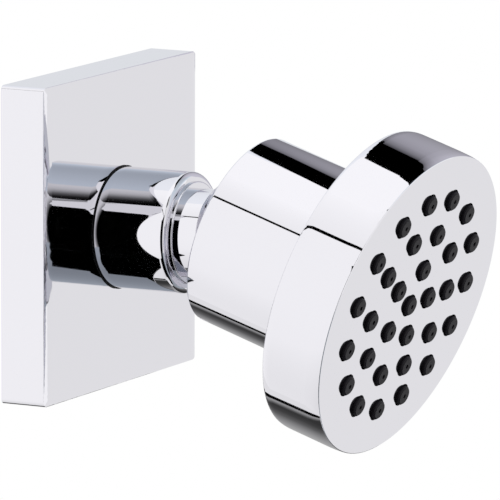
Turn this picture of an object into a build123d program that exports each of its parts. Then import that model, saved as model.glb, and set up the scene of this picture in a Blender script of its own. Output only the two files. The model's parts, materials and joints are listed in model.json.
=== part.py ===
from build123d import *
import math
import os

# Shower body jet: a square wall plate, a short arm with a ball, and a round spray head that swivels on it.
# The wall is the plane y = 0, the jet points to -Y and +Z is up. The origin is the inlet's mouth.
# Wall pieces are drawn along +Z, measured from the wall.
# Head pieces are drawn along +Z, measured from the ball's centre.

# Wall plate and its gasket
plate_side = 65.0
plate_depth = 10.0
plate_wall = 2.5
plate_corner_r = 1.2
plate_edge_run = 3.2
plate_edge_drop = 0.27
recess_depth = 0.8
recess_gap = 0.25
rebate_depth = 3.0
rebate_rim = 1.3
gasket_width = 4.0
gasket_gap = 0.1

# Arm, with a half-inch pipe thread at the wall
arm_r = 12.5
arm_reach = 26.7
arm_base_run = 2.6
arm_base_drop = 0.45
arm_edge_r = 1.5
pilot_wall = 1.5
pilot_gap = 0.2
arm_seal_t = 0.3
inlet_r = 9.9
web_t = 1.5
web_bore_r = 6.5

# Washer and screen behind the inlet thread
washer_t = 2.0
washer_pocket_r = 10.3
washer_gap = 0.1
screen_t = 0.4
screen_hole_r = 0.6
screen_spacing = 1.9
screen_rings = 3
screen_fold = 6

# Ball stem, screwed into the arm
spigot_r = 8.0
spigot_length = 5.9
spigot_gap = 0.4
thread_gap = 0.05
collar_r = 10.6
collar_t = 0.6
collar_edge_r = 0.25
stem_r = 9.2
stem_seal_section = 1.5
ball_r = 14.0
ball_out = 42.5
ball_bore_r = 4.0

# Flow limiter in the back of the stem
limiter_r = 6.2
limiter_t = 2.9
limiter_hole_r = 0.9
limiter_hole_pcd_r = 2.6
limiter_holes = 4
limiter_seal_section = 1.2

# Glide ring in a groove round the ball, in front of its middle
glide_offset = 3.0
glide_width = 2.4
glide_depth = 1.8
glide_proud = 1.1
run_gap = 0.08
slide_gap = 0.1

# Swivel: where the head rests, and how far it may lean from the arm's line
rest_tilt = 17.7
rest_turn = 8.1
swivel_max = 20.0
swivel_spare = 0.5
sweep_gap = 0.35

# Neck and back of the head
neck_r = 20.0
neck_back = 5.0
neck_edge_r = 0.4
neck_length = 27.1
back_t = 4.0
back_seal_section = 2.0

# Seal, washer and nut in front of the ball
seal_t = 3.0
seal_land = 0.6
seal_washer_t = 1.2
nut_t = 5.0
nut_slot_width = 3.0
nut_slot_depth = 2.0

# Face shell
head_r = 32.5
head_t = 13.55
face_t = 2.0
skirt_wall = 2.0
face_edge_run = 3.5
face_edge_drop = 0.45
face_edge_turn = 61.0
face_edge_r = 0.15
skirt_edge_run = 1.6
skirt_edge_drop = 0.3

# Nozzles: one in the middle, then rings of 5, 10 and 15, spaced by a share of the head's radius
nozzle_spread = 0.2338
nozzle_fold = 5
nozzle_rings = 3
nozzle_phase = 84.6
nozzle_hole_r = 2.4
nub_r = 2.0
nub_proud = 0.8
nub_edge = 0.3
jet_r = 0.45
jet_length = 1.0
feed_r = 1.3
mat_t = 2.0
water_plate_t = 2.5
mat_gap = 0.5

# Screws that clamp the water plate and the nozzle mat to the face
screw_count = 5
boss_r = 2.4
boss_gap = 0.15
screw_r = 1.2
screw_bite = 0.9
screw_head_r = 2.2
screw_head_t = 1.5
screw_slot_width = 0.6
screw_slot_depth = 0.7

# How near an edge has to lie to the place where it is looked for
edge_match = 1e-4

# Stations along the wall pieces, from the wall
recess_floor = plate_depth - recess_depth
recess_r = arm_r + recess_gap
arm_seat = recess_floor + arm_seal_t
spigot_back = arm_reach - spigot_length
web_front = spigot_back - spigot_gap
web_back = web_front - web_t
screen_back = web_back - screen_t
inlet_length = screen_back - washer_t
collar_front = arm_reach + collar_t
pilot_r = inlet_r + pilot_wall
stem_seal_pocket_r = spigot_r + stem_seal_section + 2 * thread_gap

# Stations along the head pieces, from the ball's centre
socket_r = ball_r + glide_proud + slide_gap
glide_r = ball_r + glide_proud
glide_front = glide_offset + glide_width
lean = swivel_max + swivel_spare
sweep_back = glide_r * math.sin(math.asin(glide_offset / glide_r) - math.radians(lean))
sweep_front = glide_r * math.sin(math.asin(glide_front / glide_r) + math.radians(lean))
lip_front = sweep_back - sweep_gap
seal_back = sweep_front + sweep_gap
seal_front = seal_back + seal_t
washer_front = seal_front + seal_washer_t
nut_back = washer_front + slide_gap
seal_bore_r = math.sqrt((ball_r + run_gap) ** 2 - (seal_back + seal_land) ** 2)
ring_outer_r = socket_r - slide_gap
head_back = neck_length - neck_back
back_front = head_back + back_t
face_front = head_back + head_t
face_back = face_front - face_t
mat_back = face_back - mat_t
water_back = mat_back - water_plate_t
skirt_inner_r = head_r - skirt_wall
back_r = skirt_inner_r - slide_gap
mat_r = skirt_inner_r - mat_gap
nozzle_spacing = nozzle_spread * head_r
boss_pcd_r = (mat_r + nozzle_rings * nozzle_spacing) / 2

# Places of the wall side, of the ball, and of the head at rest
wall_place = Rot(X=90)
ball_place = wall_place * Pos(0, 0, ball_out)
head_place = Pos(0, -ball_out, 0) * Rot(Y=rest_turn) * Rot(X=90 + rest_tilt)


def turned(*points):
    """A solid of revolution about Z from (radius, height) corners."""
    return revolve(Plane.XZ * make_face(Polyline(*points, close=True)), Axis.Z)


def disc(radius, low, high):
    return Pos(0, 0, low) * Cylinder(radius, high - low, align=(Align.CENTER, Align.CENTER, Align.MIN))


def ring(inner_r, outer_r, low, high):
    return disc(outer_r, low, high) - disc(inner_r, low, high)


def block(side, low, high):
    return Pos(0, 0, low) * Box(side, side, high - low, align=(Align.CENTER, Align.CENTER, Align.MIN))


def o_ring(section, inner_r, height):
    return Pos(0, 0, height) * Torus(inner_r + section / 2, section / 2)


def circles_at(shape, radius, height):
    """The round edges of a turned shape that have this radius and height."""
    found = []
    for edge in shape.edges().filter_by(GeomType.CIRCLE):
        centre = edge.arc_center
        if abs(edge.radius - radius) < edge_match and abs(centre.Z - height) < edge_match:
            found.append(edge)
    return found


def nozzle_spots():
    spots = [Location((0, 0, 0))]
    for step in range(1, nozzle_rings + 1):
        spots += PolarLocations(step * nozzle_spacing, step * nozzle_fold, nozzle_phase).locations
    return spots


def screw_spots():
    half_step = 180 / (nozzle_rings * nozzle_fold)
    return PolarLocations(boss_pcd_r, screw_count, nozzle_phase + half_step).locations


def edge_buff():
    """What buffing takes off one front edge of the plate, down to a part of an ellipse."""
    side = plate_side / 2
    turn = (side - plate_edge_run, plate_depth - plate_edge_drop)
    edge = EllipticalCenterArc(turn, plate_edge_run, plate_edge_drop, 0, arc_size=90)
    outside = Polyline(
        edge @ 1,
        (side - plate_edge_run, 2 * plate_depth),
        (plate_side, 2 * plate_depth),
        (plate_side, plate_depth - plate_edge_drop),
        edge @ 0,
    )
    return extrude(Plane.XZ * make_face([edge, outside]), plate_side, both=True)


def wall_plate():
    plate = block(plate_side, 0, plate_depth)
    plate = fillet(plate.edges().filter_by(Axis.Z), plate_corner_r)
    plate -= [Rot(Z=90 * step) * edge_buff() for step in range(4)]
    plate -= block(plate_side - 2 * plate_wall, 0, plate_depth - plate_wall)
    plate -= block(plate_side - 2 * rebate_rim, 0, rebate_depth)
    plate -= disc(recess_r, recess_floor, plate_depth)
    return plate - disc(pilot_r + pilot_gap, 0, recess_floor)


def wall_gasket():
    outer = plate_side - 2 * (rebate_rim + gasket_gap)
    return block(outer, 0, rebate_depth) - block(outer - 2 * gasket_width, 0, rebate_depth)


def arm_seal():
    return ring(pilot_r + pilot_gap, recess_r - thread_gap, recess_floor, arm_seat)


def arm_barrel():
    """The turned outside of the arm, whose wall end is buffed to a part of an ellipse."""
    turn = (arm_r - arm_base_drop, arm_seat + arm_base_run)
    base_edge = EllipticalCenterArc(turn, arm_base_drop, arm_base_run, -90, arc_size=90)
    rest = Polyline(base_edge @ 1, (arm_r, arm_reach), (0, arm_reach), (0, arm_seat), base_edge @ 0)
    barrel = revolve(Plane.XZ * make_face([base_edge, rest]), Axis.Z)
    return fillet(circles_at(barrel, arm_r, arm_reach), arm_edge_r)


def arm_body():
    arm = arm_barrel() + disc(pilot_r, 0, arm_seat)
    arm -= disc(inlet_r, 0, inlet_length)
    arm -= disc(washer_pocket_r, inlet_length, web_back)
    arm -= disc(web_bore_r, web_back, web_front)
    arm -= disc(spigot_r + thread_gap, web_front, arm_reach)
    return arm - disc(stem_seal_pocket_r, arm_reach - stem_seal_section, arm_reach)


def inlet_washer():
    return ring(web_bore_r, washer_pocket_r - washer_gap, inlet_length, screen_back)


def filter_screen():
    screen = disc(washer_pocket_r - washer_gap, screen_back, web_back)
    hole = disc(screen_hole_r, screen_back, web_back)
    spots = [Location((0, 0, 0))]
    for step in range(1, screen_rings + 1):
        spots += PolarLocations(step * screen_spacing, step * screen_fold).locations
    return screen - [spot * hole for spot in spots]


def limiter_groove():
    floor_r = limiter_r - limiter_seal_section - 2 * thread_gap
    middle = spigot_back + limiter_t / 2
    half = limiter_seal_section / 2 + thread_gap
    return ring(floor_r, limiter_r, middle - half, middle + half)


def flow_limiter():
    plug = disc(limiter_r - thread_gap, spigot_back, spigot_back + limiter_t) - limiter_groove()
    hole = disc(limiter_hole_r, spigot_back, spigot_back + limiter_t)
    return plug - [spot * hole for spot in PolarLocations(limiter_hole_pcd_r, limiter_holes)]


def limiter_seal():
    inner_r = limiter_r - thread_gap - limiter_seal_section
    return o_ring(limiter_seal_section, inner_r, spigot_back + limiter_t / 2)


def ball_stem():
    collar = disc(collar_r, arm_reach, collar_front)
    collar = fillet(circles_at(collar, collar_r, collar_front), collar_edge_r)
    stem = collar + disc(spigot_r, spigot_back, arm_reach) + disc(stem_r, collar_front, ball_out)
    stem += Pos(0, 0, ball_out) * Sphere(ball_r)
    low = ball_out + glide_offset - run_gap
    high = ball_out + glide_front + run_gap
    stem -= ring(ball_r - glide_depth, 2 * ball_r, low, high)
    stem -= disc(limiter_r, spigot_back, spigot_back + limiter_t)
    return stem - disc(ball_bore_r, spigot_back, ball_out + ball_r)


def stem_seal():
    middle = arm_reach - stem_seal_section / 2
    return o_ring(stem_seal_section, spigot_r + thread_gap, middle)


def glide_ring():
    return Sphere(glide_r) & ring(ball_r - glide_depth + run_gap, glide_r, glide_offset, glide_front)


def ball_seal():
    seal = ring(seal_bore_r, ring_outer_r, seal_back, seal_front)
    return seal - Sphere(ball_r + run_gap)


def seal_washer():
    return ring(seal_bore_r, ring_outer_r, seal_front, washer_front)


def seat_nut():
    nut = ring(seal_bore_r, ring_outer_r, nut_back, nut_back + nut_t)
    slot = Box(2 * socket_r, nut_slot_width, 2 * nut_slot_depth)
    return nut - Pos(0, 0, nut_back + nut_t) * slot


def back_groove():
    middle = head_back + back_t / 2
    half = back_seal_section / 2 + thread_gap
    return ring(skirt_inner_r - back_seal_section, head_r, middle - half, middle + half)


def neck_body():
    neck = disc(neck_r, -neck_back, back_front)
    neck = fillet(circles_at(neck, neck_r, -neck_back), neck_edge_r)
    neck += disc(back_r, head_back, back_front) - back_groove()
    neck -= disc(socket_r, lip_front, back_front)
    return neck - Sphere(ball_r + run_gap)


def back_seal():
    inner_r = skirt_inner_r - back_seal_section + thread_gap
    return o_ring(back_seal_section - 2 * thread_gap, inner_r, head_back + back_t / 2)


def water_plate():
    plate = disc(mat_r, water_back, mat_back)
    plate -= [spot * disc(feed_r, water_back, mat_back) for spot in nozzle_spots()]
    hole = disc(screw_r + boss_gap, water_back, mat_back)
    return plate - [spot * hole for spot in screw_spots()]


def nozzle_nub():
    tip = face_front + nub_proud
    shoulder = (nub_r, tip - nub_edge)
    return turned((0, mat_back), (nub_r, mat_back), shoulder, (nub_r - nub_edge, tip), (0, tip))


def nozzle_mat():
    mat = disc(mat_r, mat_back, face_back)
    mat -= [spot * disc(boss_r + boss_gap, mat_back, face_back) for spot in screw_spots()]
    tip = face_front + nub_proud
    bore = disc(feed_r, mat_back, tip - jet_length) + disc(jet_r, tip - jet_length, tip)
    mat += [spot * nozzle_nub() for spot in nozzle_spots()]
    return mat - [spot * bore for spot in nozzle_spots()]


def shell_cup():
    """The turned cup, whose rim is buffed to a part of an ellipse at both edges, in front up to a small radius."""
    skirt_turn = (head_r - skirt_edge_drop, head_back + skirt_edge_run)
    face_turn = (head_r - face_edge_drop, face_front - face_edge_run * math.sin(math.radians(face_edge_turn)))
    back_edge = EllipticalCenterArc(skirt_turn, skirt_edge_drop, skirt_edge_run, -90, arc_size=90)
    front_edge = EllipticalCenterArc(face_turn, face_edge_drop, face_edge_run, 0, arc_size=face_edge_turn)
    rim = Line(back_edge @ 1, front_edge @ 0)
    inside = Polyline(
        front_edge @ 1,
        (0, face_front),
        (0, face_back),
        (skirt_inner_r, face_back),
        (skirt_inner_r, head_back),
        back_edge @ 0,
    )
    cup = revolve(Plane.XZ * make_face([back_edge, rim, front_edge, inside]), Axis.Z)
    return fillet(circles_at(cup, (front_edge @ 1).X, face_front), face_edge_r)


def face_shell():
    shell = shell_cup()
    shell += [spot * disc(boss_r, mat_back, face_back) for spot in screw_spots()]
    pilot = disc(screw_r + thread_gap, mat_back, face_back + screw_bite + thread_gap)
    shell -= [spot * pilot for spot in screw_spots()]
    return shell - [spot * disc(nozzle_hole_r, face_back, face_front) for spot in nozzle_spots()]


def plate_screws():
    screw = disc(screw_r, water_back, face_back + screw_bite)
    screw += disc(screw_head_r, water_back - screw_head_t, water_back)
    slot = Box(2 * screw_head_r, screw_slot_width, 2 * screw_slot_depth)
    screw -= Pos(0, 0, water_back - screw_head_t) * slot
    return Compound([spot * screw for spot in screw_spots()])


wall_pieces = [
    wall_plate,
    wall_gasket,
    arm_seal,
    arm_body,
    inlet_washer,
    filter_screen,
    flow_limiter,
    limiter_seal,
    ball_stem,
    stem_seal,
]
ball_pieces = [glide_ring]
head_pieces = [
    ball_seal,
    seal_washer,
    seat_nut,
    neck_body,
    back_seal,
    water_plate,
    nozzle_mat,
    face_shell,
    plate_screws,
]

os.makedirs("parts", exist_ok=True)
for place, makers in ((wall_place, wall_pieces), (ball_place, ball_pieces), (head_place, head_pieces)):
    for make in makers:
        export_step(place * make(), f"parts/{make.__name__}.step")
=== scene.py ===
import json
import math
import bpy
from mathutils import Matrix, Vector


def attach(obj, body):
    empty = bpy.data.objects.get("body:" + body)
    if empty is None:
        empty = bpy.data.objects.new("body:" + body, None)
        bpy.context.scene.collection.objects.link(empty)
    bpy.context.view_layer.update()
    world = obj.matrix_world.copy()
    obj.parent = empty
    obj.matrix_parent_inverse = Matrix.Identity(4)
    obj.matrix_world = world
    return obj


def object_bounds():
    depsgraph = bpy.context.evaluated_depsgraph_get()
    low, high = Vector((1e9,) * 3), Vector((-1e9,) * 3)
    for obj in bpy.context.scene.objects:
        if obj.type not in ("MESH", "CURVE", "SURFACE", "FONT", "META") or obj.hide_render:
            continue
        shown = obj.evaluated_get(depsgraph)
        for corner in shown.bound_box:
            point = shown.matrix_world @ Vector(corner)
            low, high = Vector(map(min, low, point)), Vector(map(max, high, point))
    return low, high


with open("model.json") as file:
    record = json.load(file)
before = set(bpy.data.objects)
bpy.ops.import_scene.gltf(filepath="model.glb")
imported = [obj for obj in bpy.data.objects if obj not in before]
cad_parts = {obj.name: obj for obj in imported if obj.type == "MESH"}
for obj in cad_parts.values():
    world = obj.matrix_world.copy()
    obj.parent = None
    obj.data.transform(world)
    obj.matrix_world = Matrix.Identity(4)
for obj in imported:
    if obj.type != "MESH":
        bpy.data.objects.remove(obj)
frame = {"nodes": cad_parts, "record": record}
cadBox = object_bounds()
mm = 0.001
print("frame loaded:", len(frame["nodes"]), "nodes")


def hexToLinear(code):
    parts = [int(code[i:i + 2], 16) / 255 for i in (1, 3, 5)]
    linear = [c / 12.92 if c <= 0.04045 else ((c + 0.055) / 1.055) ** 2.4 for c in parts]
    return (*linear, 1.0)


# adds a node, sets its properties and sockets, and links the sockets that are given a node's output
# a socket goes by its name, with _ for a space, or by its number as at0, at1
def addNode(tree, kind, settings=None, **inputs):
    node = tree.nodes.new(kind)
    for name, value in (settings or {}).items():
        setattr(node, name, value)
    for name, value in inputs.items():
        numbered = name.startswith("at")
        socket = node.inputs[int(name[2:]) if numbered else name.replace("_", " ")]
        if isinstance(value, bpy.types.NodeSocket):
            tree.links.new(value, socket)
        else:
            socket.default_value = value
    return node


def newMaterial(name):
    material = bpy.data.materials.new(name)
    material.use_nodes = True
    material.node_tree.nodes.clear()
    return material, material.node_tree


def setRamp(node, stops):
    ramp = node.color_ramp
    while len(ramp.elements) > 1:
        ramp.elements.remove(ramp.elements[-1])
    for i, (place, colour) in enumerate(stops):
        stop = ramp.elements[0] if i == 0 else ramp.elements.new(place)
        stop.position = place
        stop.color = colour
    return node


# a ramp's stops from a look's dark tone to its pale one
def toneStops(look, places):
    return list(zip(places, (hexToLinear(look["dark"]), hexToLinear(look["pale"]))))


# a pattern of this size in mm has this many repeats per metre
def perMetre(sizeMm):
    return 1.0 / (sizeMm * mm)


# polished chrome plate on brass: a clear mirror,
# with the faint haze and the slight waves that buffing leaves
chromeLook = {
    "colour": "#dcdbe0",
    "roughLow": 0.015,
    "roughHigh": 0.05,
    "hazeMm": 14.0,
    "hazeDetail": 4.0,
    "hazeGrit": 0.6,
    "hazeRange": (0.35, 0.7),
    "waveMm": 22.0,
    "waveDepth": 0.02,
}


def makeChrome():
    material, tree = newMaterial("polishedChrome")
    place = addNode(tree, "ShaderNodeTexCoord").outputs["Object"]
    haze = addNode(tree, "ShaderNodeTexNoise", None, Vector=place,
                   Scale=perMetre(chromeLook["hazeMm"]), Detail=chromeLook["hazeDetail"],
                   Roughness=chromeLook["hazeGrit"])
    hazeLow, hazeHigh = chromeLook["hazeRange"]
    rough = addNode(tree, "ShaderNodeMapRange", None, Value=haze.outputs["Fac"],
                    From_Min=hazeLow, From_Max=hazeHigh,
                    To_Min=chromeLook["roughLow"], To_Max=chromeLook["roughHigh"])
    wave = addNode(tree, "ShaderNodeTexNoise", None, Vector=place,
                   Scale=perMetre(chromeLook["waveMm"]), Detail=0.0)
    bump = addNode(tree, "ShaderNodeBump", None, Strength=chromeLook["waveDepth"],
                   Distance=mm, Height=wave.outputs["Fac"])
    shader = addNode(tree, "ShaderNodeBsdfPrincipled", None,
                     Base_Color=hexToLinear(chromeLook["colour"]), Metallic=1.0,
                     Roughness=rough.outputs["Result"], Normal=bump.outputs["Normal"])
    addNode(tree, "ShaderNodeOutputMaterial", None, Surface=shader.outputs["BSDF"])
    return material


# moulded silicone and nitrile rubber: near black, satin, with the fine grain of the mould
rubberLooks = {
    "nozzle_silicone": {"name": "mouldedSilicone", "dark": "#100d12", "pale": "#1d191f",
                        "rough": 0.5, "gloss": 0.2, "ior": 1.43, "grainMm": 0.25},
    "seal_rubber": {"name": "nitrileRubber", "dark": "#0a0a0a", "pale": "#1c1c1c",
                    "rough": 0.6, "gloss": 0.5, "ior": 1.43, "grainMm": 0.35},
}
rubberGrain = {"detail": 3.0, "grit": 0.55, "tonePlaces": (0.3, 0.75),
               "strength": 0.15, "depth": 0.05 * mm}


def makeRubber(look):
    material, tree = newMaterial(look["name"])
    place = addNode(tree, "ShaderNodeTexCoord").outputs["Object"]
    grain = addNode(tree, "ShaderNodeTexNoise", None, Vector=place,
                    Scale=perMetre(look["grainMm"]), Detail=rubberGrain["detail"],
                    Roughness=rubberGrain["grit"])
    tone = setRamp(addNode(tree, "ShaderNodeValToRGB", None, Fac=grain.outputs["Fac"]),
                   toneStops(look, rubberGrain["tonePlaces"]))
    bump = addNode(tree, "ShaderNodeBump", None, Strength=rubberGrain["strength"],
                   Distance=rubberGrain["depth"], Height=grain.outputs["Fac"])
    shader = addNode(tree, "ShaderNodeBsdfPrincipled", None, Base_Color=tone.outputs["Color"],
                     Roughness=look["rough"], IOR=look["ior"], Specular_IOR_Level=look["gloss"],
                     Normal=bump.outputs["Normal"])
    addNode(tree, "ShaderNodeOutputMaterial", None, Surface=shader.outputs["BSDF"])
    return material


# closed-cell foam: charcoal, matt, covered with small pits
foamLook = {"dark": "#161616", "pale": "#3a3a3a", "rough": 0.95, "cellMm": 0.7,
            "tonePlaces": (0.1, 0.6), "pitStrength": 0.6, "pitDepth": 0.3 * mm}


def makeFoam():
    material, tree = newMaterial("closedCellFoam")
    place = addNode(tree, "ShaderNodeTexCoord").outputs["Object"]
    cells = addNode(tree, "ShaderNodeTexVoronoi", None, Vector=place, Scale=perMetre(foamLook["cellMm"]))
    tone = setRamp(addNode(tree, "ShaderNodeValToRGB", None, Fac=cells.outputs["Distance"]),
                   toneStops(foamLook, foamLook["tonePlaces"]))
    bump = addNode(tree, "ShaderNodeBump", None, Strength=foamLook["pitStrength"],
                   Distance=foamLook["pitDepth"], Height=cells.outputs["Distance"])
    shader = addNode(tree, "ShaderNodeBsdfPrincipled", None, Base_Color=tone.outputs["Color"],
                     Roughness=foamLook["rough"], Normal=bump.outputs["Normal"])
    addNode(tree, "ShaderNodeOutputMaterial", None, Surface=shader.outputs["BSDF"])
    return material


# moulded acetal and ABS: an even colour with a slight drift, and a soft sheen
plasticLooks = {
    "white_plastic": {"name": "whiteAcetal", "dark": "#dcdbd4", "pale": "#ecebe6",
                      "rough": 0.35, "ior": 1.48, "driftMm": 6.0},
    "grey_plastic": {"name": "greyAbs", "dark": "#8f9194", "pale": "#a2a4a7",
                     "rough": 0.45, "ior": 1.48, "driftMm": 9.0},
    "limiter_plastic": {"name": "greenAcetal", "dark": "#4f9270", "pale": "#5da27f",
                        "rough": 0.38, "ior": 1.48, "driftMm": 4.0},
}
plasticDrift = {"detail": 5.0, "tonePlaces": (0.3, 0.7)}


def makePlastic(look):
    material, tree = newMaterial(look["name"])
    place = addNode(tree, "ShaderNodeTexCoord").outputs["Object"]
    drift = addNode(tree, "ShaderNodeTexNoise", None, Vector=place,
                    Scale=perMetre(look["driftMm"]), Detail=plasticDrift["detail"])
    tone = setRamp(addNode(tree, "ShaderNodeValToRGB", None, Fac=drift.outputs["Fac"]),
                   toneStops(look, plasticDrift["tonePlaces"]))
    shader = addNode(tree, "ShaderNodeBsdfPrincipled", None, Base_Color=tone.outputs["Color"],
                     Roughness=look["rough"], IOR=look["ior"])
    addNode(tree, "ShaderNodeOutputMaterial", None, Surface=shader.outputs["BSDF"])
    return material


# turned brass and rolled stainless steel: bright metal with fine tool marks
metalLooks = {
    "brass": {"name": "turnedBrass", "dark": "#b08d4a", "pale": "#cba968", "rough": 0.28, "markMm": 0.5},
    "steel": {"name": "stainlessSteel", "dark": "#a9a9a8", "pale": "#c4c4c3", "rough": 0.3, "markMm": 0.4},
}
toolMarks = {"detail": 2.0, "tonePlaces": (0.3, 0.7), "strength": 0.1, "depth": 0.02 * mm}


def makeBareMetal(look):
    material, tree = newMaterial(look["name"])
    place = addNode(tree, "ShaderNodeTexCoord").outputs["Object"]
    marks = addNode(tree, "ShaderNodeTexNoise", None, Vector=place,
                    Scale=perMetre(look["markMm"]), Detail=toolMarks["detail"])
    tone = setRamp(addNode(tree, "ShaderNodeValToRGB", None, Fac=marks.outputs["Fac"]),
                   toneStops(look, toolMarks["tonePlaces"]))
    bump = addNode(tree, "ShaderNodeBump", None, Strength=toolMarks["strength"],
                   Distance=toolMarks["depth"], Height=marks.outputs["Fac"])
    shader = addNode(tree, "ShaderNodeBsdfPrincipled", None, Base_Color=tone.outputs["Color"],
                     Metallic=1.0, Roughness=look["rough"], Normal=bump.outputs["Normal"])
    addNode(tree, "ShaderNodeOutputMaterial", None, Surface=shader.outputs["BSDF"])
    return material


finishes = {"chrome": makeChrome(), "foam": makeFoam()}
finishes.update({slot: makeRubber(look) for slot, look in rubberLooks.items()})
finishes.update({slot: makePlastic(look) for slot, look in plasticLooks.items()})
finishes.update({slot: makeBareMetal(look) for slot, look in metalLooks.items()})
for subpart in frame["record"]["subparts"]:
    piece = frame["nodes"][subpart["node"]]
    piece.data.materials.clear()
    piece.data.materials.append(finishes[subpart["material_slot"]])
print("finishes set:", len(finishes))

# the inlet's pipe thread: one helical ridge inside the plain bore of the arm
threadRidge = {
    "crestR": 9.35 * mm,
    "rootR": 10.0 * mm,
    "pitch": 1.814 * mm,
    "footWidth": 1.2 * mm,
    "crestWidth": 0.35 * mm,
    "start": 1.2 * mm,
    "turns": 8,
    "stepsPerTurn": 72,
    "mergeGap": 0.001 * mm,
    "smoothAngle": 30,
}


def makeThreadRidge():
    ridge = threadRidge
    bpy.ops.object.select_all(action="DESELECT")
    bpy.ops.mesh.primitive_plane_add(size=1.0, location=(0, 0, 0))
    piece = bpy.context.object
    piece.name = "inlet_thread_ridge"
    # the plane becomes the ridge's section, standing in the plane x = 0 on the bore's wall
    corners = [
        (ridge["rootR"], -ridge["footWidth"] / 2),
        (ridge["rootR"], ridge["footWidth"] / 2),
        (ridge["crestR"], -ridge["crestWidth"] / 2),
        (ridge["crestR"], ridge["crestWidth"] / 2),
    ]
    for vertex, (radius, along) in zip(piece.data.vertices, corners):
        vertex.co = (0, -ridge["start"] + along, radius)
    bpy.ops.object.mode_set(mode="EDIT")
    bpy.ops.mesh.select_all(action="SELECT")
    bpy.ops.mesh.delete(type="ONLY_FACE")
    bpy.ops.object.mode_set(mode="OBJECT")
    screw = piece.modifiers.new("helix", "SCREW")
    screw.axis = "Y"
    screw.angle = 2 * math.pi
    screw.screw_offset = -ridge["pitch"]
    screw.iterations = ridge["turns"]
    screw.steps = ridge["stepsPerTurn"]
    screw.render_steps = ridge["stepsPerTurn"]
    screw.use_merge_vertices = True
    bpy.ops.object.modifier_apply(modifier=screw.name)
    bpy.ops.object.mode_set(mode="EDIT")
    bpy.ops.mesh.select_all(action="SELECT")
    bpy.ops.mesh.remove_doubles(threshold=ridge["mergeGap"])
    bpy.ops.mesh.fill_holes(sides=4)
    bpy.ops.mesh.select_all(action="SELECT")
    bpy.ops.mesh.normals_make_consistent(inside=False)
    bpy.ops.object.mode_set(mode="OBJECT")
    bpy.ops.object.shade_smooth_by_angle(angle=math.radians(ridge["smoothAngle"]))
    piece.data.materials.append(finishes["chrome"])
    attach(piece, "wall_side")
    print("thread ridge:", len(piece.data.polygons), "faces")


makeThreadRidge()

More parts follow.
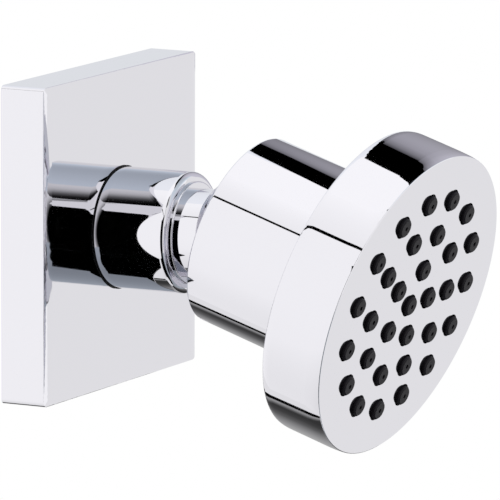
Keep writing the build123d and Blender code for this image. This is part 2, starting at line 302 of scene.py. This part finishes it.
# studio: white paper below and all round, and panels of a light tent that the chrome mirrors
# azimuth is counted from the jet's direction, -Y, towards +X; both angles in degrees
# an edge is an elevation, a list of them spread evenly along the panel,
# or a level seam on a wall, given by the wall's name and the seam's rise
# "up" levels run evenly from the lower edge to the upper one, "across" along the azimuth; both multiply
# a later panel hangs in front of an earlier one
studio = {
    "middle": Vector((0, -40 * mm, 0)),
    "domeR": 0.5,
    "layerStep": 0.001,
    "gridAcross": 64,
    "gridUp": 24,
    "floorDrop": 1.5,
    "floorSize": 12.0,
    "paper": "#f2f2f2",
    "walls": {"left": -115},
    "panels": {
        "leftSoftbox": {"azimuth": (-180, -60), "low": -75, "high": ("left", 0.93),
                        "up": (0.9, 1.05, 1.18, 1.2, 1.2, 1.2)},
        "topSoftbox": {"azimuth": (-180, -52), "low": ("left", 1.0), "high": 69, "up": (1.15, 1.2, 1.27)},
        "ceilingSoftbox": {"azimuth": (-180, 180), "low": 69, "high": 90, "up": (1.28,)},
        "rightSoftbox": {"azimuth": (108, 180), "low": -5, "high": 69, "up": (0.87, 0.9, 1.1, 1.2),
                         "tint": "#f8fbff"},
        "frontSoftbox": {"azimuth": (-46, 54), "low": -28, "high": 24, "up": (1.2,)},
        "wallSeam": {"azimuth": (-190, -70), "low": ("left", 0.93), "high": ("left", 1.0), "up": (0.0,)},
        "darkDoor": {"azimuth": (-87, -56), "low": -55, "high": [27, 28, 32.5, 34.7], "up": (0.0,)},
        "doorEdge": {"azimuth": (-57, -45), "low": -60, "high": 47, "across": (0.0, 0.35, 0.75, 0.95)},
        "windowLight": {"azimuth": (-70, -53.5), "low": 34.7, "high": 60, "up": (1.13,)},
        "windowShade": {"azimuth": (-57, -12), "high": 69,
                        "low": [50, 47, 46, 46, 46, 46, 45, 44, 43, 42],
                        "across": (0.0, 0.0, 0.02, 0.16, 0.42, 0.66, 0.8, 0.88, 0.93, 0.94)},
        "windowScrim": {"azimuth": (-12, 68), "low": 22, "high": 69, "tint": "#ebf6ff",
                        "up": (1.6, 1.3, 1.08, 1, 1, 1, 1, 1),
                        "across": (0.94, 0.9, 0.85, 0.8, 0.72, 0.66)},
        "tableFront": {"azimuth": (-57, 62), "low": -80, "high": -28, "tint": "#ebf6ff",
                       "up": (0.3, 0.4, 0.48, 0.55, 0.6)},
        "darkFloor": {"azimuth": (-105, -57), "low": -80, "high": -40, "up": (0.0,)},
        "floorShade": {"azimuth": (-57, 62), "low": -82, "up": (0.0,),
                       "high": [-27, -42, -48, -53, -58, -61, -62.5, -64, -65,
                                -66, -67, -68, -69, -70, -71, -72, -73, -74]},
        "tableSide": {"azimuth": (62, 112), "low": -75, "high": -32, "across": (0.25, 0.06, 0.03, 0.03)},
        "tableBack": {"azimuth": (112, 178), "low": -75, "high": [-8, -8, -9, -18, -33, -48, -64],
                      "across": (0.5, 0.45, 0.385, 0.265, 0.13, 0.065, 0.045, 0.045, 0.045, 0.045)},
        "tableLip": {"azimuth": (137, 178), "low": [-23.2, -78.1], "high": [-13.9, -68.8],
                     "up": (0.05, 0.15, 0.33, 0.4)},
        "tableSeam": {"azimuth": (137, 178), "low": [-13.9, -68.8], "high": [-7.2, -62.1], "up": (0.0,)},
        "rightShade": {"azimuth": (66, 110.5), "low": [8, 3, -4, -4, -4, -4],
                       "high": [64, 64, 61.8, 58, 51, 46.5],
                       "up": (1, 1, 1, 1, 1, 1, 0.98, 0.92, 0.8, 0.5, 0.0),
                       "across": (0.86, 0.82, 0.77, 0.69, 0.52, 0.27), "tint": "#f1effb"},
        "topFlag": {"azimuth": (18, 94), "low": [67, 67, 66, 62.7, 61, 54.3],
                    "high": [73, 76, 77, 78, 78, 76], "up": (0.0,)},
        "sideFlag": {"azimuth": (94, 109), "low": [54.3, 51.5, 45.5, 44],
                     "high": [76, 74.5, 71.5, 66], "up": (0.0,)},
    },
}


def edgeElevation(edge, azimuth, share):
    if isinstance(edge, tuple):
        wall, rise = edge
        return math.degrees(math.atan(rise * math.cos(math.radians(azimuth - studio["walls"][wall]))))
    if isinstance(edge, list):
        step = min(int(share * (len(edge) - 1)), len(edge) - 2)
        part = share * (len(edge) - 1) - step
        return edge[step] + part * (edge[step + 1] - edge[step])
    return edge


def levelRamp(tree, side, levels):
    place = addNode(tree, "ShaderNodeTexCoord").outputs["UV"]
    sides = addNode(tree, "ShaderNodeSeparateXYZ", None, Vector=place)
    ramp = addNode(tree, "ShaderNodeValToRGB", None, Fac=sides.outputs[side])
    last = len(levels) - 1
    setRamp(ramp, [(i / last, (level, level, level, 1.0)) for i, level in enumerate(levels)])
    return ramp.outputs["Color"]


def makePanelLight(name, panel):
    material, tree = newMaterial(name + "Light")
    up, across = panel.get("up", (1.0,)), panel.get("across", (1.0,))
    strength = up[0]
    if len(up) > 1:
        strength = levelRamp(tree, "Y", up)
    if len(across) > 1:
        strength = addNode(tree, "ShaderNodeMath", {"operation": "MULTIPLY"},
                           at0=strength, at1=levelRamp(tree, "X", across)).outputs["Value"]
    glow = addNode(tree, "ShaderNodeEmission", None,
                   Color=hexToLinear(panel.get("tint", "#ffffff")), Strength=strength)
    addNode(tree, "ShaderNodeOutputMaterial", None, Surface=glow.outputs["Emission"])
    return material


def makePanel(layer, name, panel):
    azFrom, azTo = panel["azimuth"]
    radius = studio["domeR"] * (1 - studio["layerStep"] * layer)
    bpy.ops.object.select_all(action="DESELECT")
    bpy.ops.mesh.primitive_grid_add(x_subdivisions=studio["gridAcross"],
                                    y_subdivisions=studio["gridUp"], size=1.0)
    card = bpy.context.object
    card.name = name
    for vertex in card.data.vertices:
        share, height = vertex.co.x + 0.5, vertex.co.y + 0.5
        azimuth = azFrom + share * (azTo - azFrom)
        low, high = (edgeElevation(panel[edge], azimuth, share) for edge in ("low", "high"))
        a, e = math.radians(azimuth), math.radians(low + height * (high - low))
        ray = Vector((math.sin(a) * math.cos(e), -math.cos(a) * math.cos(e), math.sin(e)))
        vertex.co = studio["middle"] + ray * radius
    card.data.materials.append(makePanelLight(name, panel))
    card.visible_camera = False


# 1 where the camera sees the surface itself or in a mirror
def seenDirectly(tree):
    path = addNode(tree, "ShaderNodeLightPath").outputs
    mirrored = addNode(tree, "ShaderNodeMath", {"operation": "MAXIMUM"},
                       at0=path["Is Glossy Ray"], at1=path["Is Transmission Ray"])
    return addNode(tree, "ShaderNodeMath", {"operation": "MAXIMUM"},
                   at0=path["Is Camera Ray"], at1=mirrored.outputs["Value"]).outputs["Value"]


def makePaperFloor():
    bpy.ops.object.select_all(action="DESELECT")
    drop = cadBox[0][2] - studio["floorDrop"]
    bpy.ops.mesh.primitive_plane_add(size=studio["floorSize"], location=(0, 0, drop))
    floor = bpy.context.object
    floor.name = "paperFloor"
    material, tree = newMaterial("whitePaper")
    seen = seenDirectly(tree)
    paper = addNode(tree, "ShaderNodeBsdfDiffuse", None, Color=hexToLinear(studio["paper"]))
    white = addNode(tree, "ShaderNodeEmission", None, Color=(1, 1, 1, 1), Strength=1.0)
    mix = addNode(tree, "ShaderNodeMixShader", None, Fac=seen,
                  at1=paper.outputs["BSDF"], at2=white.outputs["Emission"])
    addNode(tree, "ShaderNodeOutputMaterial", None, Surface=mix.outputs["Shader"])
    floor.data.materials.append(material)


def makeWhiteWorld():
    world = bpy.data.worlds.new("whiteTent")
    bpy.context.scene.world = world
    world.use_nodes = True
    world.node_tree.nodes.clear()
    tent = addNode(world.node_tree, "ShaderNodeBackground", None, Color=(1, 1, 1, 1), Strength=1.0)
    addNode(world.node_tree, "ShaderNodeOutputWorld", None, Surface=tent.outputs["Background"])


for layer, (panelName, panelData) in enumerate(studio["panels"].items()):
    makePanel(layer, panelName, panelData)
makePaperFloor()
makeWhiteWorld()
print("studio ready:", len(studio["panels"]), "panels")

# camera at the photo's angle; the aim is moved so that the jet sits where it does in the picture
shot = {
    "target": Vector((0, -40 * mm, 0)),
    "azimuth": -62.48,
    "elevation": 9.19,
    "roll": 0.16,
    "distance": 1.557,
    "aimRight": -0.31 * mm,
    "aimUp": -2.45 * mm,
    "lens": 552.7,
    "sensor": 36.0,
}


def makeCamera():
    a, e, r = (math.radians(shot[k]) for k in ("azimuth", "elevation", "roll"))
    flatRight = Vector((math.cos(a), math.sin(a), 0))
    back = Vector((math.sin(a) * math.cos(e), -math.cos(a) * math.cos(e), math.sin(e)))
    flatUp = back.cross(flatRight)
    right = flatRight * math.cos(r) + flatUp * math.sin(r)
    up = flatUp * math.cos(r) - flatRight * math.sin(r)
    lensData = bpy.data.cameras.new("shot")
    lensData.lens = shot["lens"]
    lensData.sensor_width = shot["sensor"]
    camera = bpy.data.objects.new("shot", lensData)
    place = shot["target"] + right * shot["aimRight"] + up * shot["aimUp"] + back * shot["distance"]
    turn = Matrix((right, up, back)).transposed().to_4x4()
    camera.matrix_world = Matrix.Translation(place) @ turn
    bpy.context.collection.objects.link(camera)
    bpy.context.scene.camera = camera


makeCamera()
bpy.context.scene.view_settings.view_transform = "Standard"
print("camera set")
